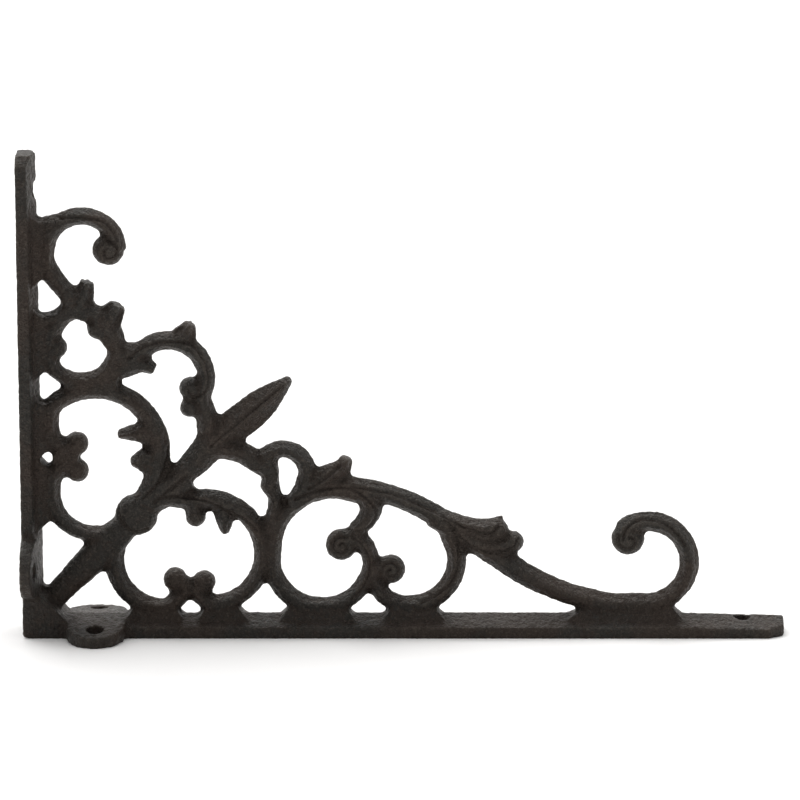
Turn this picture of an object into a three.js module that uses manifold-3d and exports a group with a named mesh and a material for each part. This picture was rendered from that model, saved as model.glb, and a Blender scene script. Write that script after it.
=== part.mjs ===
// A plant hanger bracket: one iron sand casting. Two flat legs meet in a square corner and a
// panel of scrolls and leaves fills the angle between them, ending in a hook near the long
// leg's tip. It stands here on its long leg, with the short leg upright on the left.
// Millimetres. X runs along the long leg, Y across the casting and Z up. While it is being
// built the outer corner is at X 0, Z 0, and the casting is the same on both sides of Y 0,
// the plane where the two halves of the sand mould met.
import * as THREE from "three";
import { mergeVertices } from "three/addons/utils/BufferGeometryUtils.js";
import Module from "manifold-3d";

const wasm = await Module();
wasm.setup();

// The legs
const longLeg = 300;
const shortLeg = 193;
const strapWidth = 20;
const strapEdge = 4.4; // thickness along both edges of a leg
const strapRidge = 7.9; // thickness along its middle
const longTipEdge = 3.5; // the long leg thins towards its tip
const longTipRidge = 6.8;
const shortTipEdge = 4.4;
const shortTipRidge = 7.6;
const tipThinning = 45; // length over which a leg thins
const longTipCorner = 5.5; // cut-off corners of a leg's tip, along the leg
const shortTipCorner = 3.5;
const tipCornerAcross = 4;
const cornerRounding = 2;

// The screw holes, and the ears that carry two of them beside each leg near the corner
const screwHole = 7;
const longTipHoleFromTip = 16.3;
const shortTipHoleFromTip = 14.8;
const earFromCorner = 28.8;
const earWidth = 23.4; // along the leg
const earReach = 24.4; // from the middle of the leg to the ear's rim
const earHoleOut = 15.5;
const earRim = 4.2;
const earRidge = 7.75;

// The scroll panel
const panelDepth = 8.8; // front crown to back crown of an ordinary scroll
const leafDepth = 10.4; // over the ridge of a leaf
const hubDepth = 12.4;
const knobDepth = 10; // over the balls that end the scrolls
const crownShare = 0.42; // width of a scroll's flat crown, as a share of its full width
const gusset = 17; // solid block in the corner, along each leg
const gussetNose = 7.5; // height at which its slanted face starts
const coveHeight = 2.8; // the coves at the scrolls' feet, above the ridge of a leg
const coveSpread = 2; // along the leg
const coveToe = 1.4; // in front of the scrolls' crowns

// The pattern is drawn for legs of these sizes and is stretched with the real ones
const drawn = { longLeg: 300, shortLeg: 193, strap: 7.9 };

const arcStep = 19; // degrees from one section of a curved bar to the next
const bendStep = 7.4; // millimetres from one section of a bent bar to the next
const knobSides = 12;
const holeSides = 20;
const radians = Math.PI / 180;

// Solids

function solidFrom(vertices, triangles) {
  let volume = 0;
  for (const [a, b, c] of triangles) {
    const [p, q, r] = [a, b, c].map((i) => new THREE.Vector3(...vertices[i]));
    volume += p.dot(q.cross(r));
  }
  const faces = volume < 0 ? triangles.map(([a, b, c]) => [a, c, b]) : triangles;
  const mesh = new wasm.Mesh({
    numProp: 3,
    vertProperties: new Float32Array(vertices.flat()),
    triVerts: new Uint32Array(faces.flat()),
  });
  return new wasm.Manifold(mesh);
}

// A closed three.js geometry as a solid, without the slivers at its poles
function solidOf(geometry) {
  const bare = geometry.clone();
  bare.deleteAttribute("normal");
  bare.deleteAttribute("uv");
  const merged = mergeVertices(bare, 1e-4);
  const place = merged.getAttribute("position");
  const vertices = [];
  for (let i = 0; i < place.count; i += 1) {
    vertices.push([place.getX(i), place.getY(i), place.getZ(i)]);
  }
  const index = merged.getIndex().array;
  const triangles = [];
  for (let i = 0; i < index.length; i += 3) {
    const [a, b, c] = [index[i], index[i + 1], index[i + 2]];
    if (a !== b && b !== c && c !== a) {
      triangles.push([a, b, c]);
    }
  }
  return solidFrom(vertices, triangles);
}

// A solid skin over a row of outlines with the same number of corners, each one convex
function loft(outlines) {
  const corners = outlines[0].length;
  const triangles = [];
  for (let s = 0; s + 1 < outlines.length; s += 1) {
    for (let k = 0; k < corners; k += 1) {
      const a = s * corners + k;
      const b = s * corners + ((k + 1) % corners);
      triangles.push([a, b, b + corners], [a, b + corners, a + corners]);
    }
  }
  const last = (outlines.length - 1) * corners;
  for (let k = 1; k + 1 < corners; k += 1) {
    triangles.push([0, k + 1, k], [last, last + k, last + k + 1]);
  }
  return solidFrom(outlines.flat(), triangles);
}

function joined(solids) {
  return solids.reduce((sum, solid) => sum.add(solid));
}

const stretchAlong = (longLeg - strapRidge) / (drawn.longLeg - drawn.strap);
const stretchUp = (shortLeg - strapRidge) / (drawn.shortLeg - drawn.strap);
const stretch = Math.sqrt(stretchAlong * stretchUp); // of the widths and the knobs

// Where a point of the drawn pattern lies on the real bracket
function place([x, z]) {
  const fromStrap = [x - drawn.strap, z - drawn.strap];
  return [strapRidge + fromStrap[0] * stretchAlong, strapRidge + fromStrap[1] * stretchUp];
}

// Value at share t of a row of values spread evenly from 0 to 1
function along(values, t) {
  const spot = t * (values.length - 1);
  const first = Math.floor(spot);
  const next = Math.min(first + 1, values.length - 1);
  return values[first] + (values[next] - values[first]) * (spot - first);
}

// Routes: rows of points in the drawn pattern, on the middle of a bar

function arc([x, z], radius, from, to, endRadius = radius) {
  const steps = Math.max(2, Math.ceil(Math.abs(to - from) / arcStep));
  const route = [];
  for (let i = 0; i <= steps; i += 1) {
    const t = i / steps;
    const angle = (from + (to - from) * t) * radians;
    const r = radius + (endRadius - radius) * t;
    route.push([x + r * Math.cos(angle), z + r * Math.sin(angle)]);
  }
  return route;
}

function bend(...points) {
  const curve = new THREE.CatmullRomCurve3(
    points.map(([x, z]) => new THREE.Vector3(x, 0, z)),
    false,
    "centripetal",
  );
  const steps = Math.max(2, Math.ceil(curve.getLength() / bendStep));
  return curve.getSpacedPoints(steps).map((point) => [point.x, point.z]);
}

// One smooth route through the ends of several
function chain(...routes) {
  const spaced = [];
  for (const point of routes.flat()) {
    const before = spaced.at(-1);
    if (!before || Math.hypot(point[0] - before[0], point[1] - before[1]) > 1.2) {
      spaced.push(point);
    }
  }
  return spaced;
}

// Sections: one quarter of each, from the mid-plane to the crown, in shares of half the
// width and half the depth
const scrollSection = [[1, 0.22], [crownShare, 1]];
const leafSection = [[1, 0.16], [0, 1]];
const petalSection = [[1, 0.4], [0.72, 0.88], [0, 1]];

function fullSection(quarter) {
  const upper = [...quarter, ...quarter.map(([a, d]) => [-a, d]).reverse()];
  const loop = [...upper, ...upper.map(([a, d]) => [-a, -d])];
  return loop.filter(([a, d], i) => {
    const [nextA, nextD] = loop[(i + 1) % loop.length];
    return Math.hypot(a - nextA, d - nextD) > 1e-6;
  });
}

// A cast bar along a route, with its widths and its depths given from end to end
function bar(route, widths, depths = [panelDepth], quarter = scrollSection) {
  const points = route.map(place);
  const section = fullSection(quarter);
  const outlines = points.map(([x, z], i) => {
    const [x0, z0] = points[Math.max(i - 1, 0)];
    const [x1, z1] = points[Math.min(i + 1, points.length - 1)];
    const length = Math.hypot(x1 - x0, z1 - z0);
    const side = [-(z1 - z0) / length, (x1 - x0) / length];
    const half = (stretch * along(widths, i / (points.length - 1))) / 2;
    const deep = along(depths, i / (points.length - 1)) / 2;
    return section.map(([a, d]) => [x + side[0] * a * half, d * deep, z + side[1] * a * half]);
  });
  return loft(outlines);
}

// A leaf has a ridge along each face, and its foot starts inside the bar that carries it
function leaf(route, widths, depths = [panelDepth, leafDepth, leafDepth * 0.8]) {
  return bar(route, widths, depths, leafSection);
}

// A ball pressed flat, as scrolls end in
function knob(centre, radius, depth = knobDepth) {
  const [x, z] = place(centre);
  const profile = [];
  const rings = radius < 6 ? 4 : 6;
  for (let i = 0; i <= rings; i += 1) {
    const angle = (-90 + (180 * i) / rings) * radians;
    const out = stretch * radius * Math.cos(angle);
    profile.push(new THREE.Vector2(out, (depth / 2) * Math.sin(angle)));
  }
  profile[0].x = 0;
  profile[rings].x = 0;
  const ball = new THREE.LatheGeometry(profile, knobSides);
  ball.translate(x, 0, z);
  return solidOf(ball);
}

// Parts of a leg, in its own frame: X along it from the outer corner, Y across, Z towards
// the scrolls

function strap(length, tipEdge, tipRidge, tipCorner) {
  const half = strapWidth / 2;
  const station = (x, width, edge, ridge) => {
    const shoulder = ridge - ((ridge - edge) * width) / half;
    return [
      [x, -width, 0],
      [x, width, 0],
      [x, width, shoulder],
      [x, 0, ridge],
      [x, -width, shoulder],
    ];
  };
  const share = 1 - tipCorner / tipThinning;
  const edgeThere = strapEdge + (tipEdge - strapEdge) * share;
  const ridgeThere = strapRidge + (tipRidge - strapRidge) * share;
  return loft([
    station(0, half, strapEdge, strapRidge),
    station(length - tipThinning, half, strapEdge, strapRidge),
    station(length - tipCorner, half, edgeThere, ridgeThere),
    station(length, half - tipCornerAcross, tipEdge, tipRidge),
  ]);
}

// The ear: an oval plate across the leg, with a low roof as the leg has
function ear() {
  const half = strapWidth / 2;
  const lobe = earReach - half;
  const outline = [];
  const steps = 9;
  for (const side of [1, -1]) {
    for (let i = 0; i <= steps; i += 1) {
      const angle = (180 * i * radians) / steps;
      const x = earFromCorner + (side * Math.cos(angle) * earWidth) / 2;
      outline.push([x, side * (half + lobe * Math.sin(angle))]);
    }
  }
  const plate = loft([0, earRidge].map((z) => outline.map(([x, y]) => [x, y, z])));
  const beyond = 1;
  const slope = (earRidge - earRim) / earReach;
  const low = earRim - slope * beyond;
  const far = earReach + beyond;
  const roof = [[-far, 0], [far, 0], [far, low], [0, earRidge], [-far, low]];
  const ends = [earFromCorner - earWidth, earFromCorner + earWidth];
  return plate.intersect(loft(ends.map((x) => roof.map(([y, z]) => [x, y, z]))));
}

function hole(x, y) {
  const drill = new THREE.CylinderGeometry(screwHole / 2, screwHole / 2, 30, holeSides);
  drill.rotateX(90 * radians);
  drill.translate(x, y, 0);
  return solidOf(drill);
}

// The small cove where a scroll stands on the ridge of a leg
function foot([from, to], before = coveSpread, after = coveSpread) {
  const crown = panelDepth / 2;
  const levels = [
    { z: strapEdge, spread: 1, y: crown + coveToe },
    { z: strapRidge - 0.45 * (strapRidge - strapEdge), spread: 1, y: crown + coveToe },
    { z: strapRidge + 0.2 * coveHeight, spread: 0.1, y: crown + 0.1 * coveToe },
    { z: strapRidge + coveHeight, spread: -0.8, y: crown * 0.9 },
  ];
  return loft(
    levels.map(({ z, spread, y }) => {
      const x0 = from - spread * before;
      const x1 = to + spread * after;
      return [[x0, -y, z], [x1, -y, z], [x1, y, z], [x0, y, z]];
    }),
  );
}

// The short leg is built lying down, then stood up by half a turn about the corner's diagonal
const standUp = new THREE.Matrix4().set(0, 0, 1, 0, 0, -1, 0, 0, 1, 0, 0, 0, 0, 0, 0, 1);

function leg({ length, tipEdge, tipRidge, tipCorner, holeFromTip, feet }) {
  const body = joined([strap(length, tipEdge, tipRidge, tipCorner), ear(), ...feet]);
  const holes = [hole(earFromCorner, earHoleOut), hole(earFromCorner, -earHoleOut)];
  return { body, holes: [...holes, hole(length - holeFromTip, 0)] };
}

const alongLong = (x) => place([x, 0])[0];
const upShort = (z) => place([0, z])[1];

const long = leg({
  length: longLeg,
  tipEdge: longTipEdge,
  tipRidge: longTipRidge,
  tipCorner: longTipCorner,
  holeFromTip: longTipHoleFromTip,
  feet: [
    foot([42, 61.5].map(alongLong)),
    foot([70.5, 86.5].map(alongLong)),
    foot([103, 129].map(alongLong)),
    foot([143.5, 164].map(alongLong)),
    foot([219, 258].map(alongLong), 5, 2.5),
  ],
});

const short = leg({
  length: shortLeg,
  tipEdge: shortTipEdge,
  tipRidge: shortTipRidge,
  tipCorner: shortTipCorner,
  holeFromTip: shortTipHoleFromTip,
  feet: [
    foot([44.2, 69.6].map(upShort)),
    foot([73, 93.4].map(upShort)),
    foot([105.4, 128.8].map(upShort)),
    foot([142.8, 166].map(upShort)),
  ],
});

// The solid block in the corner, flush with the legs' edges
function cornerBlock() {
  const face = [[0, 0], [gusset, 0], [gusset, gussetNose], [gussetNose, gusset], [0, gusset]];
  const half = strapWidth / 2 - 0.1;
  return loft([-half, half].map((y) => face.map(([x, z]) => [x, y, z])));
}

// What rounding the outer corner takes away
function cornerWaste() {
  const far = -cornerRounding;
  const corner = [[far, far], [cornerRounding, far]];
  for (let i = 0; i <= 4; i += 1) {
    const angle = (270 - 22.5 * i) * radians;
    corner.push([cornerRounding * (1 + Math.cos(angle)), cornerRounding * (1 + Math.sin(angle))]);
  }
  corner.push([far, cornerRounding]);
  // cut in fans from the far corner, because the outline isn't convex
  const slices = [];
  for (let i = 1; i + 1 < corner.length; i += 1) {
    const face = [corner[0], corner[i], corner[i + 1]];
    slices.push(loft([-strapWidth, strapWidth].map((y) => face.map(([x, z]) => [x, y, z]))));
  }
  return joined(slices);
}

// The pattern. Each part is named for its place; numbers are millimetres from the outer
// corner at the drawn size, along the long leg and up the short one.

const upperScroll = { centre: [25, 154], radius: 14 };
const smallRing = { centre: [25.1, 116.5], radius: 12.7, tallness: 1.095 };
const arch = { centre: [57.8, 103.3], radius: 15.1 };
const leftUpper = { centre: [29.4, 74], radius: 24.7 };
const leftLower = { centre: [28.3, 57], radius: 16.7 };
const hub = { centre: [44.9, 48], radius: 8.4 };
const lowerLeft = { centre: [55.8, 29.7], radius: 19.8 };
const lowerRight = { centre: [73, 30.8], radius: 19.2, topRadius: 24.4 };
const loop = { centre: [102.9, 64.6], radius: 10.4, endRadius: 9.2 };
const middleRing = { centre: [117.5, 30.2], radius: 19.7 };
const middleShoulder = { centre: [122, 34], radius: 23.7 };
const rightRing = { centre: [152.5, 29.5], radius: 18.3 };
const hook = { centre: [245.8, 29.1], radius: 17.3, endRadius: 16 };

function upperScrollParts() {
  const { centre, radius } = upperScroll;
  return [
    bar(
      chain(
        arc(centre, radius, 2, 170),
        bend([10.7, 150.5], [13.1, 144.7], [19.6, 136.6]),
      ),
      [7, 7.4, 7, 7.2, 7.2, 7.4, 7.8, 7.4],
    ),
    bar(bend([6, 161.6], [14, 165], [24.5, 167.6]), [8.4, 7.4, 4.6], [panelDepth * 0.97]),
    knob([35.2, 154.6], 6.2),
    leaf(bend([23, 130.6], [25.2, 136.2], [27, 142]), [10, 9.4, 8, 5]),
    leaf(bend([33, 121], [35.2, 126.6], [38.7, 132.8]), [8, 10.6, 9.4, 6.4]),
    bar(bend([17.6, 131.4], [23.4, 132], [30, 129.4]), [6, 8, 6]), // fills the fork
    bar(bend([38.6, 113], [37.6, 120], [35, 127]), [4, 7, 6]),
  ];
}

function smallRingParts() {
  const { centre, radius, tallness } = smallRing;
  const tall = (route) => route.map(([x, z]) => [x, centre[1] + (z - centre[1]) * tallness]);
  return [
    bar(tall(arc(centre, radius, -95, 95)), [6, 6.8, 6.4]),
    bar(
      bend([26, 130.6], [18.6, 129], [13.2, 122.4], [11.8, 114.5], [13.8, 106.6],
        [19.4, 103.1], [26, 102.6]),
      [6.4, 7, 7.8, 7.2, 6.2, 6.2, 6],
    ),
    bar(bend([6.6, 127], [12.8, 127.6], [18, 131]), [4, 4.6, 5]), // narrows the gap at the leg
    knob([14.6, 115.6], 4.2),
    knob([30.7, 123.3], 4.3),
  ];
}

function archParts() {
  return [
    bar(
      chain(
        bend([37.4, 111.4], [42, 113.7]),
        arc(arch.centre, arch.radius, 132, -18),
        bend([71, 95.6], [72.4, 90.3], [73.6, 82]),
      ),
      [7, 7.6, 7.6, 7.6, 7.2, 7, 9.5],
    ),
    knob([66.4, 99.3], 4.3),
    knob([66.2, 91.5], 3.8),
    bar(bend([34, 105], [43, 108.4], [50, 109.2], [52.6, 106.6]), [7, 9, 8.4, 4.4]),
    leaf(bend([59.4, 116.6], [64.4, 120.4], [66.9, 125.4]), [4, 9.6, 3.8], [panelDepth]),
    bar(bend([17.6, 101], [28, 100.6], [38, 102.4]), [4.5, 5, 4.5]), // down to the large ring
  ];
}

function leftScrollParts() {
  return [
    bar(
      chain(
        bend([48, 53], [52, 61]),
        arc(leftUpper.centre, leftUpper.radius, -12, 132),
        bend([11.4, 86.5], [11.8, 80.4], [15.6, 75.5], [21, 76]),
      ),
      [9, 9.8, 8.8, 8, 7.8, 7.6, 7.6, 8.4],
    ),
    knob([21.9, 77], 4.6),
    bar(
      chain(
        bend([40, 44], [34, 41.2]),
        arc(leftLower.centre, leftLower.radius, 275, 180),
        bend([11.8, 62], [15, 67.3], [21, 66.9]),
      ),
      [6.4, 6.2, 6.6, 7.2, 7.8, 8.4],
    ),
    knob([22, 66], 4.5),
    bar(bend([13, 71.7], [21.4, 71.7]), [2, 3.4]), // where the two balls touch
    leaf(bend([54, 80], [44.5, 81.2], [38, 80.6]), [6, 8, 3.4], [panelDepth]),
    leaf(bend([54, 68.8], [47, 70.1], [43, 69.4]), [6, 10, 3.6], [panelDepth]),
  ];
}

function hubAndStemParts() {
  return [
    knob(hub.centre, hub.radius, hubDepth),
    bar(bend([60, 59.6], [66.4, 60.8]), [5, 4.4]), // rounds the fork above the loop
    bar(bend([47, 50], [56.5, 58.5], [64, 65.3], [71, 72.5], [76, 80]),
      [10, 10, 9.6, 12, 13], [panelDepth * 1.05]),
    bar(bend([43, 46], [28.3, 31], [18.5, 21], [9, 11]), [9, 13.4, 12, 10, 9],
      [panelDepth * 1.1], petalSection),
    leaf(bend([66, 69], [73, 75.6], [90, 89], [105.6, 103]), [6, 11, 13.4, 13.8, 11, 3],
      [panelDepth, leafDepth, leafDepth, leafDepth * 0.9, leafDepth * 0.7]),
  ];
}

function lowerRingParts() {
  const { centre, radius, topRadius } = lowerRight;
  return [
    bar(
      chain(
        arc(lowerLeft.centre, lowerLeft.radius, 128, 272),
        bend([60, 13.2], [64, 16.8], [63.6, 20.6], [60.2, 22]),
      ),
      [7, 7.8, 7.9, 7.8, 7.4, 7.2, 7],
    ),
    knob([59.9, 21.6], 4.8),
    bar(
      chain(
        bend([49, 51], [57, 55]),
        arc(centre, topRadius, 108, -82, radius),
        bend([72.6, 12.4], [68.4, 16.2], [68.4, 19.6], [71.2, 21]),
      ),
      [8, 8, 7.6, 7.2, 7, 7, 6.8],
    ),
    knob([71.3, 20.6], 4.5),
    bar(bend([67, 54], [68.2, 48]), [8, 7]),
    knob([68.2, 47.3], 4),
    leaf(bend([79.4, 53], [79.6, 46.6], [79.6, 40.4]), [11, 9.4, 6.8, 3], [panelDepth]),
  ];
}

function loopParts() {
  return [
    bar(bend([72, 74.5], [80, 74.8], [86.8, 73], [92, 69.4], [97.6, 65]),
      [9.5, 9, 9, 8.6, 6.4]),
    bar(bend([92, 71], [90.6, 66.5]), [8.4, 5]),
    bar(bend([97.4, 71], [98, 64.5], [98.4, 59.5], [99.6, 53.5], [97.2, 41]),
      [6.6, 5.6, 6.2, 6, 8]),
    knob([97.4, 60], 3.8),
    bar(
      chain(
        arc(loop.centre, loop.radius, 140, 0, loop.endRadius),
        bend([110.6, 59], [106.5, 51.5]),
      ),
      [6.8, 7, 7.2, 7.4, 8],
    ),
    leaf(bend([110, 57], [119.4, 62.6], [125.4, 66.6], [128, 71.2]), [6, 11, 9.8, 4.6]),
  ];
}

function middleRingParts() {
  return [
    bar(
      chain(
        arc(middleShoulder.centre, middleShoulder.radius, 66, 182),
        arc(middleRing.centre, middleRing.radius, 190, 352),
        bend([135.6, 34.4], [131.5, 38.4], [127, 38.8]),
      ),
      [6.6, 7, 7.2, 7.4, 7.6, 7.4, 6.8, 6.8, 7.4],
    ),
    knob([125.4, 35.8], 6.3),
    bar(bend([128, 57.2], [134.6, 56], [137.2, 50.8], [135, 45.6], [130.6, 41.6]),
      [6.4, 8.2, 9.2, 8, 6.4]),
  ];
}

function rightRingParts() {
  return [
    bar(
      chain(
        bend([144, 28.4], [139.6, 26.4], [138.6, 21], [142, 15]),
        arc(rightRing.centre, rightRing.radius, 236, 388),
        bend([166.2, 43.8], [159.9, 48.6], [151, 53]),
      ),
      [5.6, 6.8, 7.4, 7.7, 7.8, 7.8, 7.4, 7],
    ),
    knob([145, 25.8], 5.7),
  ];
}

function armAndHookParts() {
  return [
    bar(
      chain(
        bend([106, 52], [114, 57], [124, 59.2], [134, 58.6], [144, 56.2], [157, 50.8],
          [170, 42.4], [185, 32.2], [200, 22.3], [215, 15.8], [231, 12]),
        arc(hook.centre, hook.radius, -100, 106, hook.endRadius),
        bend([237.6, 43], [235.8, 39.6]),
      ),
      [6, 8.8, 8.3, 9, 9.8, 9.4, 8.6, 7.8, 8, 8, 8, 8.4, 7],
    ),
    knob([238.2, 38.3], 6.6),
    bar(bend([150, 54.2], [160, 49.6], [170, 45.4], [180, 42.8], [189.3, 43.6]),
      [4, 5.4, 6.4, 6.4, 6.8, 8.2], [panelDepth, panelDepth * 1.12, panelDepth * 1.06]),
    bar(bend([168, 42.8], [178, 39.8], [186.4, 39.4]), [4, 4.6, 4], [panelDepth * 0.9]),
    bar(bend([160, 45.4], [172, 39.8], [181, 36.5], [188, 35.7], [193.2, 37.2]),
      [4, 6, 6.6, 6.8, 7.4], [panelDepth * 0.97, panelDepth * 1.04, panelDepth * 1.04]),
    knob([193.2, 37], 4.1),
  ];
}

const panel = [
  upperScrollParts,
  smallRingParts,
  archParts,
  leftScrollParts,
  hubAndStemParts,
  lowerRingParts,
  loopParts,
  middleRingParts,
  rightRingParts,
  armAndHookParts,
].flatMap((parts) => parts());

function stood(solid) {
  return solid.transform(standUp.elements);
}

const body = joined([long.body, stood(short.body), cornerBlock(), ...panel]);
const waste = joined([...long.holes, ...short.holes.map(stood), cornerWaste()]);
const casting = body.subtract(waste);

const castIron = new THREE.MeshStandardMaterial({
  color: 0x35302c,
  roughness: 0.82,
  metalness: 0.35,
});

function meshOf(solid, name, material) {
  const { vertProperties, triVerts } = solid.getMesh();
  const geometry = new THREE.BufferGeometry();
  geometry.setAttribute("position", new THREE.BufferAttribute(vertProperties, 3));
  geometry.setIndex(new THREE.BufferAttribute(triVerts, 1));
  const mesh = new THREE.Mesh(geometry, material);
  mesh.name = name;
  return mesh;
}

const plantHangerBracket = new THREE.Group();
const bracket = meshOf(casting, "bracket", castIron);
bracket.position.x = -longLeg / 2; // the origin is under the middle of the long leg
plantHangerBracket.add(bracket);

export default plantHangerBracket;
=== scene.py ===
import math
import bpy
import bmesh
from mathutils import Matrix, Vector


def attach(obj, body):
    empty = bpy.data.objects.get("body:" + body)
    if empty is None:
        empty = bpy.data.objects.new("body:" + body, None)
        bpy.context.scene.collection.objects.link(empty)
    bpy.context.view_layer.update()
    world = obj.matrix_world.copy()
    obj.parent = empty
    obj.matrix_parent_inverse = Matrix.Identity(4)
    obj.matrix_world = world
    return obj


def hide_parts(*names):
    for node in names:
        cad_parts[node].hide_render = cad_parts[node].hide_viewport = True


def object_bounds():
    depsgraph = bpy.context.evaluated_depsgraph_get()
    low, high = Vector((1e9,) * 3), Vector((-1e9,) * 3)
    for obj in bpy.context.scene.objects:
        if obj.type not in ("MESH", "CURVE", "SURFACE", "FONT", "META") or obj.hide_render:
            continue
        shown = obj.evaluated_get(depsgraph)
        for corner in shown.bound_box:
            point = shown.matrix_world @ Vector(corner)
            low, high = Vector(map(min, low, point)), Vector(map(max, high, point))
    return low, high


mm = 0.001  # sizes are in millimetres, Blender's frame is in metres

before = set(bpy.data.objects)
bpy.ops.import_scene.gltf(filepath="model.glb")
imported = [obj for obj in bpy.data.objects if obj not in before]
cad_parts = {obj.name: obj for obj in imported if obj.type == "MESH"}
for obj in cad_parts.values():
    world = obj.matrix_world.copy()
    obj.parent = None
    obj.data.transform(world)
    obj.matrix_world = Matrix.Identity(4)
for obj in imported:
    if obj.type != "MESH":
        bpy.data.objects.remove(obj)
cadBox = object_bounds()
print("frame loaded")


def srgb(code):
    # a hex colour as the eye sees it, turned to the linear numbers that nodes take
    def linear(c):
        return c / 12.92 if c <= 0.04045 else ((c + 0.055) / 1.055) ** 2.4
    return tuple(linear(int(code[i:i + 2], 16) / 255) for i in (1, 3, 5)) + (1.0,)


def addNode(tree, kind, settings=None, inputs=None):
    # inputs: socket name or index -> a value, or an output socket to link from
    node = tree.nodes.new(kind)
    for key, value in (settings or {}).items():
        setattr(node, key, value)
    for key, value in (inputs or {}).items():
        socket = node.inputs[key]
        if isinstance(value, bpy.types.NodeSocket):
            tree.links.new(value, socket)
        else:
            socket.default_value = value
    return node


def startTree(name, inputs):
    # a node group with these named inputs beside its geometry, which goes in and comes out
    tree = bpy.data.node_groups.new(name, "GeometryNodeTree")
    for label, kind in [("Geometry", "Geometry")] + inputs:
        tree.interface.new_socket(label, in_out="INPUT", socket_type="NodeSocket" + kind)
    tree.interface.new_socket("Geometry", in_out="OUTPUT", socket_type="NodeSocketGeometry")
    return tree, addNode(tree, "NodeGroupInput").outputs


def endTree(tree, geometry, material):
    solid = addNode(tree, "GeometryNodeRealizeInstances", None, {"Geometry": geometry}).outputs[0]
    coated = addNode(tree, "GeometryNodeSetMaterial", None, {
        "Geometry": solid, "Material": material}).outputs[0]
    addNode(tree, "NodeGroupOutput", None, {"Geometry": coated})
    return tree


def addObject(name, mesh):
    obj = bpy.data.objects.new(name, mesh)
    bpy.context.scene.collection.objects.link(obj)
    return obj


def applyAll(obj):
    # the evaluated shape becomes the object's own mesh and its modifiers go
    graph = bpy.context.evaluated_depsgraph_get()
    mesh = bpy.data.meshes.new_from_object(obj.evaluated_get(graph), depsgraph=graph)
    obj.modifiers.clear()
    old = obj.data
    obj.data = mesh
    bpy.data.meshes.remove(old)
    return obj


def setInputs(step, values):
    # a modifier takes its inputs by the sockets' identifiers
    for item in step.node_group.interface.items_tree:
        if item.item_type == "SOCKET" and item.in_out == "INPUT" and item.name in values:
            step[item.identifier] = values[item.name]


# grey iron cast in a sand mould and left nearly bare: almost black, faintly brown, and rough
# with the print of the sand, which glints grey where a face turns up to the light
ironLook = {
    "skin": "#1a1a19",          # flats and crowns
    "brown": "#2c211b",         # broad patches where the skin has begun to turn, and painted reflected light on the flanks
    "beige": "#625950",         # sand grain, and a painted highlight on the raised edges
    "dirtAndShade": "#17110d",          # rust-brown: dirt in the pits, and painted shade darkening the hollows
    "gloss": "#f3eae0",         # the skin's gloss is faintly warm
    "metal": 0.1,               # the skin is mostly oxide
    # each noise: size in millimetres, detail, roughness
    "patch": (34.0, 4.0, 0.6),
    "tint": (11.0, 5.0, 0.65),
    "grain": (0.85, 2.0, 0.6),  # sand grains are 0.2 to 0.4 mm: drawn coarser, so that they show
    "pit": (1.9, 3.0, 0.6),
    # each layer of colour: the value where it starts, where it is full, and its share there
    "brownLayer": (0.42, 0.62, 0.8),
    "tintLayer": (0.5, 0.75, 0.45),
    "pitLayer": (0.56, 0.72, 0.5),
    "grainLayer": (0.53, 0.7, 0.26),
    # painted reflected light: lighter brown on the gently hollow flanks
    "flankLayer": (0.0, 0.16, 0.55),
    # painted shade: the deeper the hollow, the darker
    "hollowLayer": (0.08, 0.45, 0.6),
    # painted highlight: the raised edges lighter
    "edgeLayer": (-0.08, -0.5, 0.35),
    "noiseRange": (0.3, 0.7),   # nearly all of a noise lies within this
    "roughRange": (0.32, 0.6),
    "grainRelief": 0.7,         # height of the grain, as a share of the pits'
    "bumpStrength": 1.0,
    "bumpDepth": 1.3,
}


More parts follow.
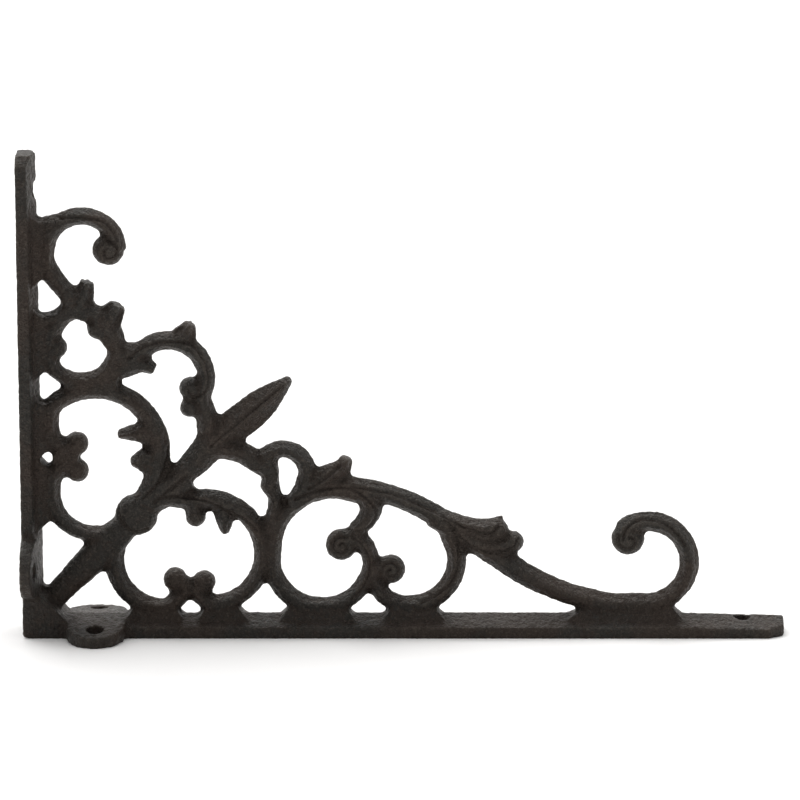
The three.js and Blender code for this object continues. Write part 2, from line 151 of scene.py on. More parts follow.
def makeIron():
    look = ironLook
    material = bpy.data.materials.new("sand-cast grey iron")
    material.use_nodes = True
    tree = material.node_tree
    tree.nodes.clear()
    out = addNode(tree, "ShaderNodeOutputMaterial")
    coords = addNode(tree, "ShaderNodeTexCoord").outputs["Object"]
    hollow = addNode(tree, "ShaderNodeAttribute", {"attribute_name": "hollow"}).outputs["Fac"]

    fields = {}
    for name in ("patch", "tint", "grain", "pit"):
        size, detail, rough = look[name]
        fields[name] = addNode(tree, "ShaderNodeTexNoise", {"noise_dimensions": "3D"}, {
            "Vector": coords, "Scale": 1 / (size * mm), "Detail": detail,
            "Roughness": rough}).outputs["Fac"]

    shares = {}
    for name, source in (("brown", fields["patch"]), ("tint", fields["tint"]),
                         ("pit", fields["pit"]), ("grain", fields["grain"]),
                         ("flank", hollow), ("hollow", hollow), ("edge", hollow)):
        low, high, top = look[name + "Layer"]
        shares[name] = addNode(tree, "ShaderNodeMapRange", {"interpolation_type": "SMOOTHSTEP"}, {
            "Value": source, "From Min": low, "From Max": high,
            "To Min": 0.0, "To Max": top}).outputs["Result"]

    # the painted highlight on the edges is patchy
    paintedEdgeHighlight = addNode(tree, "ShaderNodeMath", {"operation": "MULTIPLY"}, {
        0: shares["edge"], 1: fields["tint"]}).outputs[0]
    # the flank brown is painted reflected light, the edge beige a painted highlight and the
    # hollow dirt painted shade
    colour = srgb(look["skin"])
    for share, code in ((shares["brown"], "brown"), (shares["tint"], "brown"),
                        (shares["flank"], "brown"),
                        (paintedEdgeHighlight, "beige"), (shares["grain"], "beige"),
                        (shares["pit"], "dirtAndShade"), (shares["hollow"], "dirtAndShade")):
        colour = addNode(tree, "ShaderNodeMix", {"data_type": "RGBA"}, {
            0: share, 6: colour, 7: srgb(look[code])}).outputs[2]

    rough = addNode(tree, "ShaderNodeMapRange", None, {
        "Value": fields["pit"],
        "From Min": look["noiseRange"][0], "From Max": look["noiseRange"][1],
        "To Min": look["roughRange"][0], "To Max": look["roughRange"][1]}).outputs["Result"]
    relief = addNode(tree, "ShaderNodeMath", {"operation": "MULTIPLY_ADD"}, {
        0: fields["grain"], 1: look["grainRelief"], 2: fields["pit"]}).outputs[0]
    bump = addNode(tree, "ShaderNodeBump", None, {
        "Strength": look["bumpStrength"], "Distance": look["bumpDepth"] * mm,
        "Height": relief}).outputs[0]
    shader = addNode(tree, "ShaderNodeBsdfPrincipled", None, {
        "Base Color": colour, "Metallic": look["metal"], "Roughness": rough, "Normal": bump,
        "Specular Tint": srgb(look["gloss"])})
    tree.links.new(shader.outputs[0], out.inputs["Surface"])
    return material


iron = makeIron()
print("material made")


# The scrolls and leaves are drawn as the part's own pattern is: millimetres from the outer
# corner, along the long leg and up the short one. Their skin here is smooth and finer.
patternSizes = {
    "longLeg": 300.0,
    "panelDepth": 8.8,    # front crown to back crown of an ordinary scroll
    "leafDepth": 10.4,    # over the ridge of a leaf
    "leafTip": 0.8,       # depth at a leaf's tip, as a share of that
    "hubDepth": 12.4,
    "knobDepth": 10.0,
    "ringMiddle": 116.5,  # height of the small ring's middle
    "ringTall": 1.095,    # it stands a little taller than it is wide
    "arcStep": 19.0,      # degrees between the points of an arc
    "bendStep": 7.4,      # millimetres between the points of a bend
    "bendCuts": 20,       # cuts between two points of a bend, before it is spaced evenly
    "closest": 1.2,       # points nearer together than this are one
    "crownShare": 0.26,   # width of a scroll's crown, as a share of its full width
    "crownDome": 0.14,    # how much lower the crown's edges are than its middle
    "thinEdge": 0.22,     # half height of the sides, as a share of half the depth
    "leafEdge": 0.1,
    "budCrown": 0.3,
    "budDome": 0.9,
    "budEdge": 0.3,
    "petalCrown": 0.72,
    "petalDome": 0.14,
    "petalEdge": 0.4,
    "webCrown": 0.8,
    "webEdge": 0.5,
    "sidePress": 1.12,    # how far the round section is widened, to press its sides upright
    "sideRise": 0.45,     # share of the round section's height that becomes the upright side
    "sides": 24,          # points round a section
    "rings": 16,          # rings of faces on a ball
    "cuts": 12,           # cuts between two points of a route, before it is swept
    "step": 1.1,          # length of the skin's faces along a scroll
}
deep = patternSizes["panelDepth"]
leafDeep = patternSizes["leafDepth"]
leafDepths = (deep, leafDeep, leafDeep * patternSizes["leafTip"])


def inPlace(x, z):
    # the part's frame has its middle halfway along the long leg
    return ((x - patternSizes["longLeg"] / 2) * mm, 0, z * mm)


def arc(centre, radius, start, end, endRadius=None):
    steps = max(2, math.ceil(abs(end - start) / patternSizes["arcStep"]))
    route = []
    for i in range(steps + 1):
        t = i / steps
        angle = math.radians(start + (end - start) * t)
        r = radius + ((endRadius or radius) - radius) * t
        route.append((centre[0] + r * math.cos(angle), centre[1] + r * math.sin(angle)))
    return route


def bend(*points, step=patternSizes["bendStep"]):
    # a smooth curve through the points, cut into even steps
    knots = [Vector(p) for p in points]
    knots = [knots[0] * 2 - knots[1]] + knots + [knots[-1] * 2 - knots[-2]]
    fine = []
    for p0, p1, p2, p3 in zip(knots, knots[1:], knots[2:], knots[3:]):
        d1 = math.sqrt((p1 - p0).length)
        d2 = math.sqrt((p2 - p1).length)
        d3 = math.sqrt((p3 - p2).length)
        m1 = ((p1 - p0) / d1 - (p2 - p0) / (d1 + d2) + (p2 - p1) / d2) * d2
        m2 = ((p2 - p1) / d2 - (p3 - p1) / (d2 + d3) + (p3 - p2) / d3) * d2
        for i in range(patternSizes["bendCuts"]):
            t = i / patternSizes["bendCuts"]
            fine.append(p1 * (2 * t ** 3 - 3 * t ** 2 + 1) + m1 * (t ** 3 - 2 * t ** 2 + t)
                        + p2 * (3 * t ** 2 - 2 * t ** 3) + m2 * (t ** 3 - t ** 2))
    fine.append(knots[-2])
    lengths = [0.0]
    for a, b in zip(fine, fine[1:]):
        lengths.append(lengths[-1] + (b - a).length)
    steps = max(2, math.ceil(lengths[-1] / step))
    route = []
    spot = 0
    for i in range(steps + 1):
        want = lengths[-1] * i / steps
        while spot + 2 < len(fine) and lengths[spot + 1] < want:
            spot += 1
        share = (want - lengths[spot]) / (lengths[spot + 1] - lengths[spot])
        route.append(tuple(fine[spot].lerp(fine[spot + 1], share)))
    return route


def chain(*routes):
    spaced = []
    for route in routes:
        for point in route:
            if not spaced or math.dist(point, spaced[-1]) > patternSizes["closest"]:
                spaced.append(point)
    return spaced


def tall(route):
    # the small ring
    middle = patternSizes["ringMiddle"]
    return [(x, middle + (z - middle) * patternSizes["ringTall"]) for x, z in route]


# route, widths from end to end, depths from end to end
scrollBars = [
    # the upper scroll, its foot and the fork between its two buds
    (chain(arc((25, 154), 14, 2, 170), bend((10.7, 150.5), (13.1, 144.7), (19.6, 136.6))),
     (7, 7.4, 7, 7.2, 7.2, 7.4, 7.8, 7.4), (deep,)),
    (bend((6, 161.6), (14, 165), (24.5, 167.6)), (8.4, 7.4, 4.6), (deep * 0.97,)),
    (bend((17.6, 131.4), (23.4, 132), (30, 129.4)), (6, 8, 6), (deep,)),
    (bend((38.6, 113), (37.6, 120), (35, 127)), (4, 7, 6), (deep,)),
    # the small ring
    (tall(arc((25.1, patternSizes["ringMiddle"]), 12.7, -95, 95)), (6, 6.8, 6.4), (deep,)),
    (bend((26, 130.6), (18.6, 129), (13.2, 122.4), (11.8, 114.5), (13.8, 106.6),
          (19.4, 103.1), (26, 102.6)), (6.4, 7, 7.8, 7.2, 6.2, 6.2, 6), (deep,)),
    (bend((6.6, 127), (12.8, 127.6), (18, 131)), (4, 4.6, 5), (deep,)),
    # the arch, its tongue and the link down to the large ring
    (chain(bend((37.4, 111.4), (42, 113.7)), arc((57.8, 103.3), 15.1, 132, -18),
           bend((71, 95.6), (72.4, 90.3), (73.6, 82))),
     (7, 7.6, 7.6, 7.6, 7.2, 7, 9.5), (deep,)),
    (bend((34, 105), (43, 108.4), (50, 109.2), (52.6, 106.6)), (7, 9, 8.4, 4.4), (deep,)),
    (bend((17.6, 101), (28, 100.6), (38, 102.4)), (4.5, 5, 4.5), (deep,)),
    # the large ring on the short leg
    (chain(bend((48, 53), (52, 61)), arc((29.4, 74), 24.7, -12, 132),
           bend((11.4, 86.5), (11.8, 80.4), (15.6, 75.5), (21, 76))),
     (9, 9.8, 8.8, 8, 7.8, 7.6, 7.6, 8.4), (deep,)),
    (chain(bend((40, 44), (34, 41.2)), arc((28.3, 57), 16.7, 275, 180),
           bend((11.8, 62), (15, 67.3), (21, 66.9))),
     (6.4, 6.2, 6.6, 7.2, 7.8, 8.4), (deep,)),
    (bend((13, 71.7), (21.4, 71.7)), (2, 3.4), (deep,)),
    # the stem out of the hub
    (bend((60, 59.6), (66.4, 60.8)), (5, 4.4), (deep,)),
    (bend((47, 50), (56.5, 58.5), (64, 65.3), (71, 72.5), (76, 80)),
     (10, 10, 9.6, 12, 13), (deep * 1.05,)),
    # the lower ring
    (chain(arc((55.8, 29.7), 19.8, 128, 272),
           bend((60, 13.2), (64, 16.8), (63.6, 20.6), (60.2, 22))),
     (7, 7.8, 7.9, 7.8, 7.4, 7.2, 7), (deep,)),
    (chain(bend((49, 51), (57, 55)), arc((73, 30.8), 24.4, 108, -82, 19.2),
           bend((72.6, 12.4), (68.4, 16.2), (68.4, 19.6), (71.2, 21))),
     (8, 8, 7.6, 7.2, 7, 7, 6.8), (deep,)),
    (bend((67, 54), (68.2, 48)), (8, 7), (deep,)),
    # the loop between stem and middle ring
    (bend((72, 74.5), (80, 74.8), (86.8, 73), (92, 69.4), (97.6, 65)),
     (9.5, 9, 9, 8.6, 6.4), (deep,)),
    (bend((92, 71), (90.6, 66.5)), (8.4, 5), (deep,)),
    (bend((97.4, 71), (98, 64.5), (98.4, 59.5), (99.6, 53.5), (97.2, 41)),
     (6.6, 5.6, 6.2, 6, 8), (deep,)),
    (chain(arc((102.9, 64.6), 10.4, 140, 0, 9.2), bend((110.6, 59), (106.5, 51.5))),
     (6.8, 7, 7.2, 7.4, 8), (deep,)),
    # the middle ring
    (chain(arc((122, 34), 23.7, 66, 182), arc((117.5, 30.2), 19.7, 190, 352),
           bend((135.6, 34.4), (131.5, 38.4), (127, 38.8))),
     (6.6, 7, 7.2, 7.4, 7.6, 7.4, 6.8, 6.8, 7.4), (deep,)),
    (bend((128, 57.2), (134.6, 56), (137.2, 50.8), (135, 45.6), (130.6, 41.6)),
     (6.4, 8.2, 9.2, 8, 6.4), (deep,)),
    # the right ring
    (chain(bend((144, 28.4), (139.6, 26.4), (138.6, 21), (142, 15)),
           arc((152.5, 29.5), 18.3, 236, 388), bend((166.2, 43.8), (159.9, 48.6), (151, 53))),
     (5.6, 6.8, 7.4, 7.7, 7.8, 7.8, 7.4, 7), (deep,)),
    # the arm and its hook, with the two strands that curl off it and the web between them
    (chain(bend((106, 52), (114, 57), (124, 59.2), (134, 58.6), (144, 56.2), (157, 50.8),
                (170, 42.4), (185, 32.2), (200, 22.3), (215, 15.8), (231, 12)),
           arc((245.8, 29.1), 17.3, -100, 106, 16), bend((237.6, 43), (235.8, 39.6))),
     (6, 8.8, 8.3, 9, 9.8, 9.4, 8.6, 7.8, 8, 8, 8, 8.4, 7), (deep,)),
    (bend((150, 54.2), (160, 49.6), (170, 45.4), (180, 42.8), (189.3, 43.6)),
     (4, 5.4, 6.4, 6.4, 6.8, 8.2), (deep, deep * 1.12, deep * 1.06)),
    (bend((168, 42.8), (178, 39.8), (186.4, 39.4)), (4, 4.6, 4), (deep * 0.9,)),
    (bend((160, 45.4), (172, 39.8), (181, 36.5), (188, 35.7), (193.2, 37.2)),
     (4, 6, 6.6, 6.8, 7.4), (deep * 0.97, deep * 1.04, deep * 1.04)),
]

# the rounded buds on the small ring and the arch
budBars = [
    (bend((23, 130.6), (25.2, 136.2), (27, 142)), (10, 9.4, 8, 5), leafDepths),
    (bend((33, 121), (35.2, 126.6), (38.7, 132.8)), (8, 10.6, 9.4, 6.4), leafDepths),
    (bend((59.4, 116.6), (64.4, 120.4), (66.9, 125.4)), (4, 9.6, 3.8), (deep,)),
]

# leaves and thorns, with a ridge along the middle
leafBars = [
    (bend((54, 80), (44.5, 81.2), (38, 80.6)), (6, 8, 3.4), (deep,)),
    (bend((54, 68.8), (47, 70.1), (43, 69.4)), (6, 10, 3.6), (deep,)),
    (bend((66, 69), (73, 75.6), (90, 89), (105.6, 103)), (6, 11, 13.4, 13.8, 11, 3),
     (deep, leafDeep, leafDeep, leafDeep * 0.9, leafDeep * 0.7)),
    (bend((79.4, 53), (79.6, 46.6), (79.6, 40.4)), (11, 9.4, 6.8, 3), (deep,)),
    (bend((110, 57), (119.4, 62.6), (125.4, 66.6), (128, 71.2)), (6, 11, 9.8, 4.6), leafDepths),
]

# the broad petal from the hub down into the corner
petalBars = [
    (bend((43, 46), (28.3, 31), (18.5, 21), (9, 11)), (9, 13.4, 12, 10, 9), (deep * 1.1,)),
]

# flat webs at the height of the crowns, which fill the forks between the strands
webBars = [
    (bend((18.4, 137), (22, 132.4), (27.6, 128.6)), (6, 8, 6), (deep * 0.97,)),
    (bend((31.4, 129), (34, 123), (37, 116)), (6, 8, 6), (deep * 0.97,)),
    (bend((35, 108), (39.6, 109.4), (46, 110.8)), (6, 7, 5), (deep * 0.95,)),
    (bend((20, 101.8), (28, 100.8), (37, 101.6)), (5, 5, 5), (deep * 0.97,)),
    (bend((12.4, 71.7), (22.4, 71.7)), (4, 5), (deep * 0.93,)),
    (bend((53.4, 80.6), (45.6, 81.2)), (9, 6.6), (deep * 0.84,)),
    (bend((53.4, 69), (46.8, 70)), (10.6, 8), (deep * 0.84,)),
    (bend((48, 52), (56, 58), (66, 63)), (8, 9, 8), (deep * 0.97,)),
    (bend((94.4, 69.4), (97.6, 67), (98, 61)), (6, 6, 5), (deep * 0.95,)),
    (bend((106, 52.4), (110.4, 56.4), (118, 60)), (6, 8, 6), (deep * 0.95,)),
]

# centre and radius of each ball
scrollKnobs = [
    ((35.2, 154.6), 6.2), ((14.6, 115.6), 4.2), ((30.7, 123.3), 4.3), ((66.4, 99.3), 4.3),
    ((66.2, 91.5), 3.8), ((21.9, 77), 4.6), ((22, 66), 4.5), ((59.9, 21.6), 4.8),
    ((71.3, 20.6), 4.5), ((68.2, 47.3), 4.0), ((97.4, 60), 3.8), ((125.4, 35.8), 6.3),
    ((145, 25.8), 5.7), ((238.2, 38.3), 6.6), ((193.2, 37), 4.1),
    ((187.2, 41.9), 4.0),  # rounds the end of the upper strand
]
hub = ((44.9, 48), 8.4)


def along(values, t):
    spot = t * (len(values) - 1)
    first = int(spot)
    after = min(first + 1, len(values) - 1)
    return values[first] + (values[after] - values[first]) * (spot - first)


def routeMesh(bars, name):
    # one chain of edges for each bar, with half its width and half its depth at each point
    points, edges, widths, depths = [], [], [], []
    for route, barWidths, barDepths in bars:
        first = len(points)
        for i, (x, z) in enumerate(route):
            t = i / (len(route) - 1)
            points.append(inPlace(x, z))
            widths.append(along(barWidths, t) * mm / 2)
            depths.append(along(barDepths, t) * mm / 2)
            if i:
                edges.append((first + i - 1, first + i))
    mesh = bpy.data.meshes.new(name)
    mesh.from_pydata(points, edges, [])
    for label, values in (("halfWidth", widths), ("halfDepth", depths)):
        mesh.attributes.new(label, "FLOAT", "POINT").data.foreach_set("value", values)
    return mesh


def barTree():
    # sweeps a section along each chain: a flat crown and slanting flanks, or a leaf's ridge
    tree, start = startTree("castBar", [
        ("Step", "Float"), ("Crown", "Float"), ("Dome", "Float"), ("Edge", "Float"),
        ("Sides", "Int"), ("Iron", "Material")])
    place = addNode(tree, "GeometryNodeInputPosition").outputs[0]

    curve = addNode(tree, "GeometryNodeMeshToCurve", None, {0: start["Geometry"]}).outputs[0]
    curve = addNode(tree, "GeometryNodeCurveSplineType", {"spline_type": "CATMULL_ROM"},
                    {"Curve": curve}).outputs[0]
    curve = addNode(tree, "GeometryNodeSetSplineResolution", None,
                    {"Geometry": curve, "Resolution": patternSizes["cuts"]}).outputs[0]
    curve = addNode(tree, "GeometryNodeResampleCurve", {"mode": "LENGTH"},
                    {"Curve": curve, "Length": start["Step"]}).outputs[0]
    tangent = addNode(tree, "GeometryNodeInputTangent").outputs[0]
    side = addNode(tree, "ShaderNodeVectorMath", {"operation": "CROSS_PRODUCT"}, {
        0: tangent, 1: (0.0, 1.0, 0.0)}).outputs[0]
    for label, value in (("middle", place), ("side", side)):
        curve = addNode(tree, "GeometryNodeStoreNamedAttribute",
                        {"data_type": "FLOAT_VECTOR", "domain": "POINT"},
                        {"Geometry": curve, "Name": label, "Value": value}).outputs[0]

    circle = addNode(tree, "GeometryNodeCurvePrimitiveCircle", {"mode": "RADIUS"}, {
        "Resolution": start["Sides"], "Radius": mm}).outputs["Curve"]
    parts = addNode(tree, "ShaderNodeSeparateXYZ", None, {0: place}).outputs
    for label, value in (("across", parts[0]), ("upward", parts[1])):
        share = addNode(tree, "ShaderNodeMath", {"operation": "DIVIDE"}, {
            0: value, 1: mm}).outputs[0]
        circle = addNode(tree, "GeometryNodeStoreNamedAttribute",
                         {"data_type": "FLOAT", "domain": "POINT"},
                         {"Geometry": circle, "Name": label, "Value": share}).outputs[0]
    swept = addNode(tree, "GeometryNodeCurveToMesh", None, {
        "Curve": curve, "Profile Curve": circle, "Fill Caps": True}).outputs[0]

    kept = {}
    for label, kind in (("middle", "FLOAT_VECTOR"), ("side", "FLOAT_VECTOR"),
                        ("across", "FLOAT"), ("upward", "FLOAT"),
                        ("halfWidth", "FLOAT"), ("halfDepth", "FLOAT")):
        kept[label] = addNode(tree, "GeometryNodeInputNamedAttribute", {"data_type": kind},
                              {"Name": label}).outputs[0]

    # how far out, from -1 to 1, with the sides pressed upright
    wide = addNode(tree, "ShaderNodeMath", {"operation": "MULTIPLY"}, {
        0: kept["across"], 1: patternSizes["sidePress"]}).outputs[0]
    out = addNode(tree, "ShaderNodeClamp", None, {
        "Value": wide, "Min": -1.0, "Max": 1.0}).outputs[0]
    off = addNode(tree, "ShaderNodeMath", {"operation": "ABSOLUTE"}, {0: out}).outputs[0]
    # the flank rises from the edge to the crown, and the crown is slightly domed
    flank = addNode(tree, "ShaderNodeMapRange", None, {
        "Value": off, "From Min": 1.0, "From Max": start["Crown"],
        "To Min": start["Edge"], "To Max": 1.0}).outputs["Result"]
    square = addNode(tree, "ShaderNodeMath", {"operation": "MULTIPLY"}, {
        0: off, 1: off}).outputs[0]
    sunk = addNode(tree, "ShaderNodeMath", {"operation": "MULTIPLY"}, {
        0: square, 1: start["Dome"]}).outputs[0]
    high = addNode(tree, "ShaderNodeMath", {"operation": "SUBTRACT"}, {
        0: flank, 1: sunk}).outputs[0]
    lift = addNode(tree, "ShaderNodeMath", {"operation": "ABSOLUTE"}, {
        0: kept["upward"]}).outputs[0]
    upright = addNode(tree, "ShaderNodeMapRange", None, {
        "Value": lift, "From Min": 0.0, "From Max": patternSizes["sideRise"], "To Min": 0.0,
        "To Max": 1.0}).outputs["Result"]
    sign = addNode(tree, "ShaderNodeMath", {"operation": "SIGN"}, {0: kept["upward"]}).outputs[0]
    for factor in (upright, sign, kept["halfDepth"]):
        high = addNode(tree, "ShaderNodeMath", {"operation": "MULTIPLY"}, {
            0: high, 1: factor}).outputs[0]
    far = addNode(tree, "ShaderNodeMath", {"operation": "MULTIPLY"}, {
        0: out, 1: kept["halfWidth"]}).outputs[0]
    sideways = addNode(tree, "ShaderNodeVectorMath", {"operation": "SCALE"}, {
        0: kept["side"], "Scale": far}).outputs[0]
    forward = addNode(tree, "ShaderNodeCombineXYZ", None, {1: high}).outputs[0]
    spot = sideways
    for offset in (forward, kept["middle"]):
        spot = addNode(tree, "ShaderNodeVectorMath", {"operation": "ADD"}, {
            0: spot, 1: offset}).outputs[0]
    shaped = addNode(tree, "GeometryNodeSetPosition", None, {
        "Geometry": swept, "Position": spot}).outputs[0]
    return endTree(tree, shaped, start["Iron"])


def sweepBars(bars, name, crown, dome, edge):
    obj = addObject(name, routeMesh(bars, name))
    step = obj.modifiers.new("sweep", "NODES")
    step.node_group = castBar
    setInputs(step, {"Step": patternSizes["step"] * mm, "Crown": crown, "Dome": dome,
                     "Edge": edge, "Sides": patternSizes["sides"], "Iron": iron})
    return applyAll(obj)


castBar = barTree()
scrolls = sweepBars(scrollBars, "scrolls", patternSizes["crownShare"],
                    patternSizes["crownDome"], patternSizes["thinEdge"])
leaves = sweepBars(leafBars, "leaves", 0.0, 0.0, patternSizes["leafEdge"])
buds = sweepBars(budBars, "buds", patternSizes["budCrown"], patternSizes["budDome"],
                 patternSizes["budEdge"])
petal = sweepBars(petalBars, "petal", patternSizes["petalCrown"], patternSizes["petalDome"],
                  patternSizes["petalEdge"])
print("scrolls and leaves swept,", len(scrolls.data.polygons), len(leaves.data.polygons))


def pointMesh(balls, depth, name):
    # the balls' middles, each with the ball's half sizes
    mesh = bpy.data.meshes.new(name)
    mesh.from_pydata([inPlace(*centre) for centre, radius in balls], [], [])
    size = mesh.attributes.new("size", "FLOAT_VECTOR", "POINT")
    values = []
    for centre, radius in balls:
        values += [radius * mm, depth * mm / 2, radius * mm]
    size.data.foreach_set("vector", values)
    return mesh


def ballTree():
    # a ball pressed flat at each point
    tree, start = startTree("pressedBall", [
        ("Sides", "Int"), ("Rings", "Int"), ("Iron", "Material")])
    ball = addNode(tree, "GeometryNodeMeshUVSphere", None, {
        "Segments": start["Sides"], "Rings": start["Rings"], "Radius": 1.0}).outputs[0]
    size = addNode(tree, "GeometryNodeInputNamedAttribute", {"data_type": "FLOAT_VECTOR"},
                   {"Name": "size"}).outputs[0]
    balls = addNode(tree, "GeometryNodeInstanceOnPoints", None, {
        "Points": start["Geometry"], "Instance": ball, "Scale": size}).outputs[0]
    return endTree(tree, balls, start["Iron"])


def pressBalls(balls, depth, name):
    obj = addObject(name, pointMesh(balls, depth, name))
    step = obj.modifiers.new("balls", "NODES")
    step.node_group = pressedBall
    setInputs(step, {"Sides": patternSizes["sides"], "Rings": patternSizes["rings"],
                     "Iron": iron})
    return applyAll(obj)


pressedBall = ballTree()
webs = sweepBars(webBars, "webs", patternSizes["webCrown"], 0.0, patternSizes["webEdge"])
knobs = pressBalls(scrollKnobs, patternSizes["knobDepth"], "knobs")
boss = pressBalls([hub], patternSizes["hubDepth"], "boss")
print("balls pressed,", len(knobs.data.polygons), len(boss.data.polygons))


legSizes = {
    "reach": 12.9,       # the legs, their ears and the feet of the scrolls lie within this
    "margin": 5.0,       # how far the cutting block stands out past the legs
    "blockTop": 200.0,
    "blockHalf": 30.0,   # half the block's depth, more than the ears'
    "weld": 0.002,       # corners of the solid nearer together than this are one
}


def cutLegs():
    # the legs come from the part's own solid, cut off above the feet of the scrolls
    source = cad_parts["bracket"].data.copy()
    legs = addObject("legs", source)
    work = bmesh.new()
    work.from_mesh(source)
    bmesh.ops.remove_doubles(work, verts=work.verts, dist=legSizes["weld"] * mm)
    work.to_mesh(source)
    work.free()
    near = -legSizes["margin"]
    far = patternSizes["longLeg"] + legSizes["margin"]
    reach, top = legSizes["reach"], legSizes["blockTop"]
    corners = [(near, near), (far, near), (far, reach), (reach, reach), (reach, top), (near, top)]
    front = Vector((0, -legSizes["blockHalf"] * mm, 0))
    block = bmesh.new()
    face = block.faces.new([block.verts.new(Vector(inPlace(x, z)) + front) for x, z in corners])
    grown = bmesh.ops.extrude_face_region(block, geom=[face])["geom"]
    moved = [v for v in grown if isinstance(v, bmesh.types.BMVert)]
    bmesh.ops.translate(block, verts=moved, vec=-front * 2)
    bmesh.ops.recalc_face_normals(block, faces=block.faces)
    mesh = bpy.data.meshes.new("legBlock")
    block.to_mesh(mesh)
    block.free()
    blockObject = addObject("legBlock", mesh)
    step = legs.modifiers.new("cut", "BOOLEAN")
    step.operation = "INTERSECT"
    step.solver = "EXACT"
    step.object = blockObject
    applyAll(legs)
    bpy.data.objects.remove(blockObject)
    return legs


legs = cutLegs()
print("legs cut,", len(legs.data.polygons))


castSizes = {
    "voxel": 0.62,       # size of the faces of the first skin
    "fillet": 0.9,       # radius in the corners between strands, as a pattern maker waxes them
    "soften": 0.5,       # smoothing: molten iron doesn't fill a sharp edge of the mould
    "passes": 2,
    "share": 0.44,       # faces kept, which holds the casting under 200,000 triangles
    "line": 0.8,         # depth of the lines in the relief
    "lineWidth": 1.1,
    "lineStep": 1.5,
    "curlCuts": 10,      # points in one turn of a curl
    "faceLow": 0.2,      # no lines where less than this of the skin's normal is along y
    "faceHigh": 0.6,     # full lines from here
    "wave": 0.14,        # slow unevenness of the faces
    "waveSize": 6.0,
    "grain": 0.2,        # sand grain that shows on the outline
    "grainSize": 1.7,
    "swing": 2.0,        # stretches a noise, which keeps to its middle values, to full depth
    "blur": 6,           # steps over which a point is compared with its neighbours
    "hollowDepth": 0.45,
}


def spiral(centre, outer, inner, start, turns):
    # the curl pressed into a ball: turns against the clock, or with it when negative
    steps = math.ceil(abs(turns) * castSizes["curlCuts"])
    route = []
    for i in range(steps + 1):
        t = i / steps
        angle = math.radians(start + 360 * turns * t)
        r = outer + (inner - outer) * t
        route.append((centre[0] + r * math.cos(angle), centre[1] + r * math.sin(angle)))
    return route


# lines in the relief: where one strand lies on another, the ribs out of the hub, the veins of
# the leaves and the curls on the balls
reliefLines = [
    # along the arm, under its upper strand and round its lower one
    [(129.6, 60.1), (136.6, 59.1), (145, 57.3), (150.6, 55.3), (159.1, 51.5), (167.5, 47.1),
     (173.1, 44.2), (179.5, 41.7), (184.4, 41.7), (186.9, 44.2)],
    [(166.1, 46.7), (169.6, 43.4), (172.1, 39.8), (176.7, 35.9), (182.4, 33.9), (188.7, 34),
     (192.9, 35.7), (194.7, 38.9)],
    # the right ring, the middle ring's two strands and the lower ring
    [(167.5, 45.6), (171.1, 38.3), (171.5, 29.5), (169, 22.1), (164.1, 16.9), (157, 12.8)],
    [(107.1, 55.1), (114.1, 58.1), (121.2, 59.7), (128.9, 59.5), (134.5, 56.2), (138.3, 52.2),
     (139, 47.8), (135.9, 43.4), (131.6, 42.3)],
    [(130.2, 39.4), (133.7, 36.1), (136.2, 30.9), (136.3, 25), (133.7, 19.1), (129.4, 14.6)],
    [(52.7, 54.7), (57.7, 56.3), (65.2, 56), (71.4, 54.7), (77, 52.1), (82.5, 49.5),
     (87.5, 46.9), (92.4, 42.4)],
    # round the hub
    [(37.9, 51.5), (38.7, 46.9), (41.8, 43.3), (45.5, 42), (49.3, 43)],
    # the upper scroll, the arch and the hook
    [(17, 167.6), (21.9, 168.2), (28, 167.9), (33.4, 166.4), (37.2, 162.9), (38.9, 158.9)],
    [(42.9, 112.1), (48.5, 116.5), (54.7, 118.4), (62.1, 118.7), (67, 117.8), (71.2, 112.8),
     (73.6, 107.1), (73.5, 100.7), (71, 97.5), (67.2, 96.9), (66.1, 99.4)],
    [(236, 38.7), (237.2, 42.9), (241.2, 46.1), (246.6, 46.8), (252.8, 45), (256.9, 41.5),
     (260.4, 36.5)],
    # the veins of the two leaves, and the ribs out of the hub
    [(112.6, 59.4), (119, 63.6), (125, 68.4)],
    [(74.4, 76.6), (80, 81.8), (92, 92), (102.6, 100.6)],
    [(47.6, 55.4), (53.4, 61.4), (56.8, 68.4), (58.2, 76)],
    [(52, 53.8), (58.4, 59.2), (65, 64.8)],
    # the curls
    spiral((125.4, 35.8), 4.4, 1.2, 60, 1.2),
    spiral((145, 25.8), 3.9, 1.1, 150, -1.1),
    spiral((35.4, 154.6), 4.3, 1.4, 95, -0.9),
    spiral((238.4, 38.3), 4.6, 1.5, 150, 0.8),
]


def joinPieces(pieces, name):
    work = bmesh.new()
    for piece in pieces:
        work.from_mesh(piece.data)
        bpy.data.objects.remove(piece)
    mesh = bpy.data.meshes.new(name)
    work.to_mesh(mesh)
    work.free()
    return addObject(name, mesh)


def pourSkin(obj):
    # one closed skin over everything, as the iron runs together in the mould: it is swollen,
    # wrapped again and shrunk back, which fills the creases between the strands
    for label, swell in (("skin", castSizes["fillet"]), ("second skin", -castSizes["fillet"])):
        step = obj.modifiers.new(label, "REMESH")
        step.mode = "VOXEL"
        step.voxel_size = castSizes["voxel"] * mm
        step.adaptivity = 0
        step.use_smooth_shade = True
        step = obj.modifiers.new(label + " swell", "DISPLACE")
        step.mid_level = 0
        step.strength = swell * mm
    step = obj.modifiers.new("soften", "SMOOTH")
    step.factor = castSizes["soften"]
    step.iterations = castSizes["passes"]
    applyAll(obj)


def lineMesh():
    mesh = bpy.data.meshes.new("reliefLines")
    points, edges = [], []
    for line in reliefLines:
        route = bend(*line, step=castSizes["lineStep"])
        first = len(points)
        points += [inPlace(x, z) for x, z in route]
        edges += [(first + i, first + i + 1) for i in range(len(route) - 1)]
    mesh.from_pydata(points, edges, [])
    return mesh


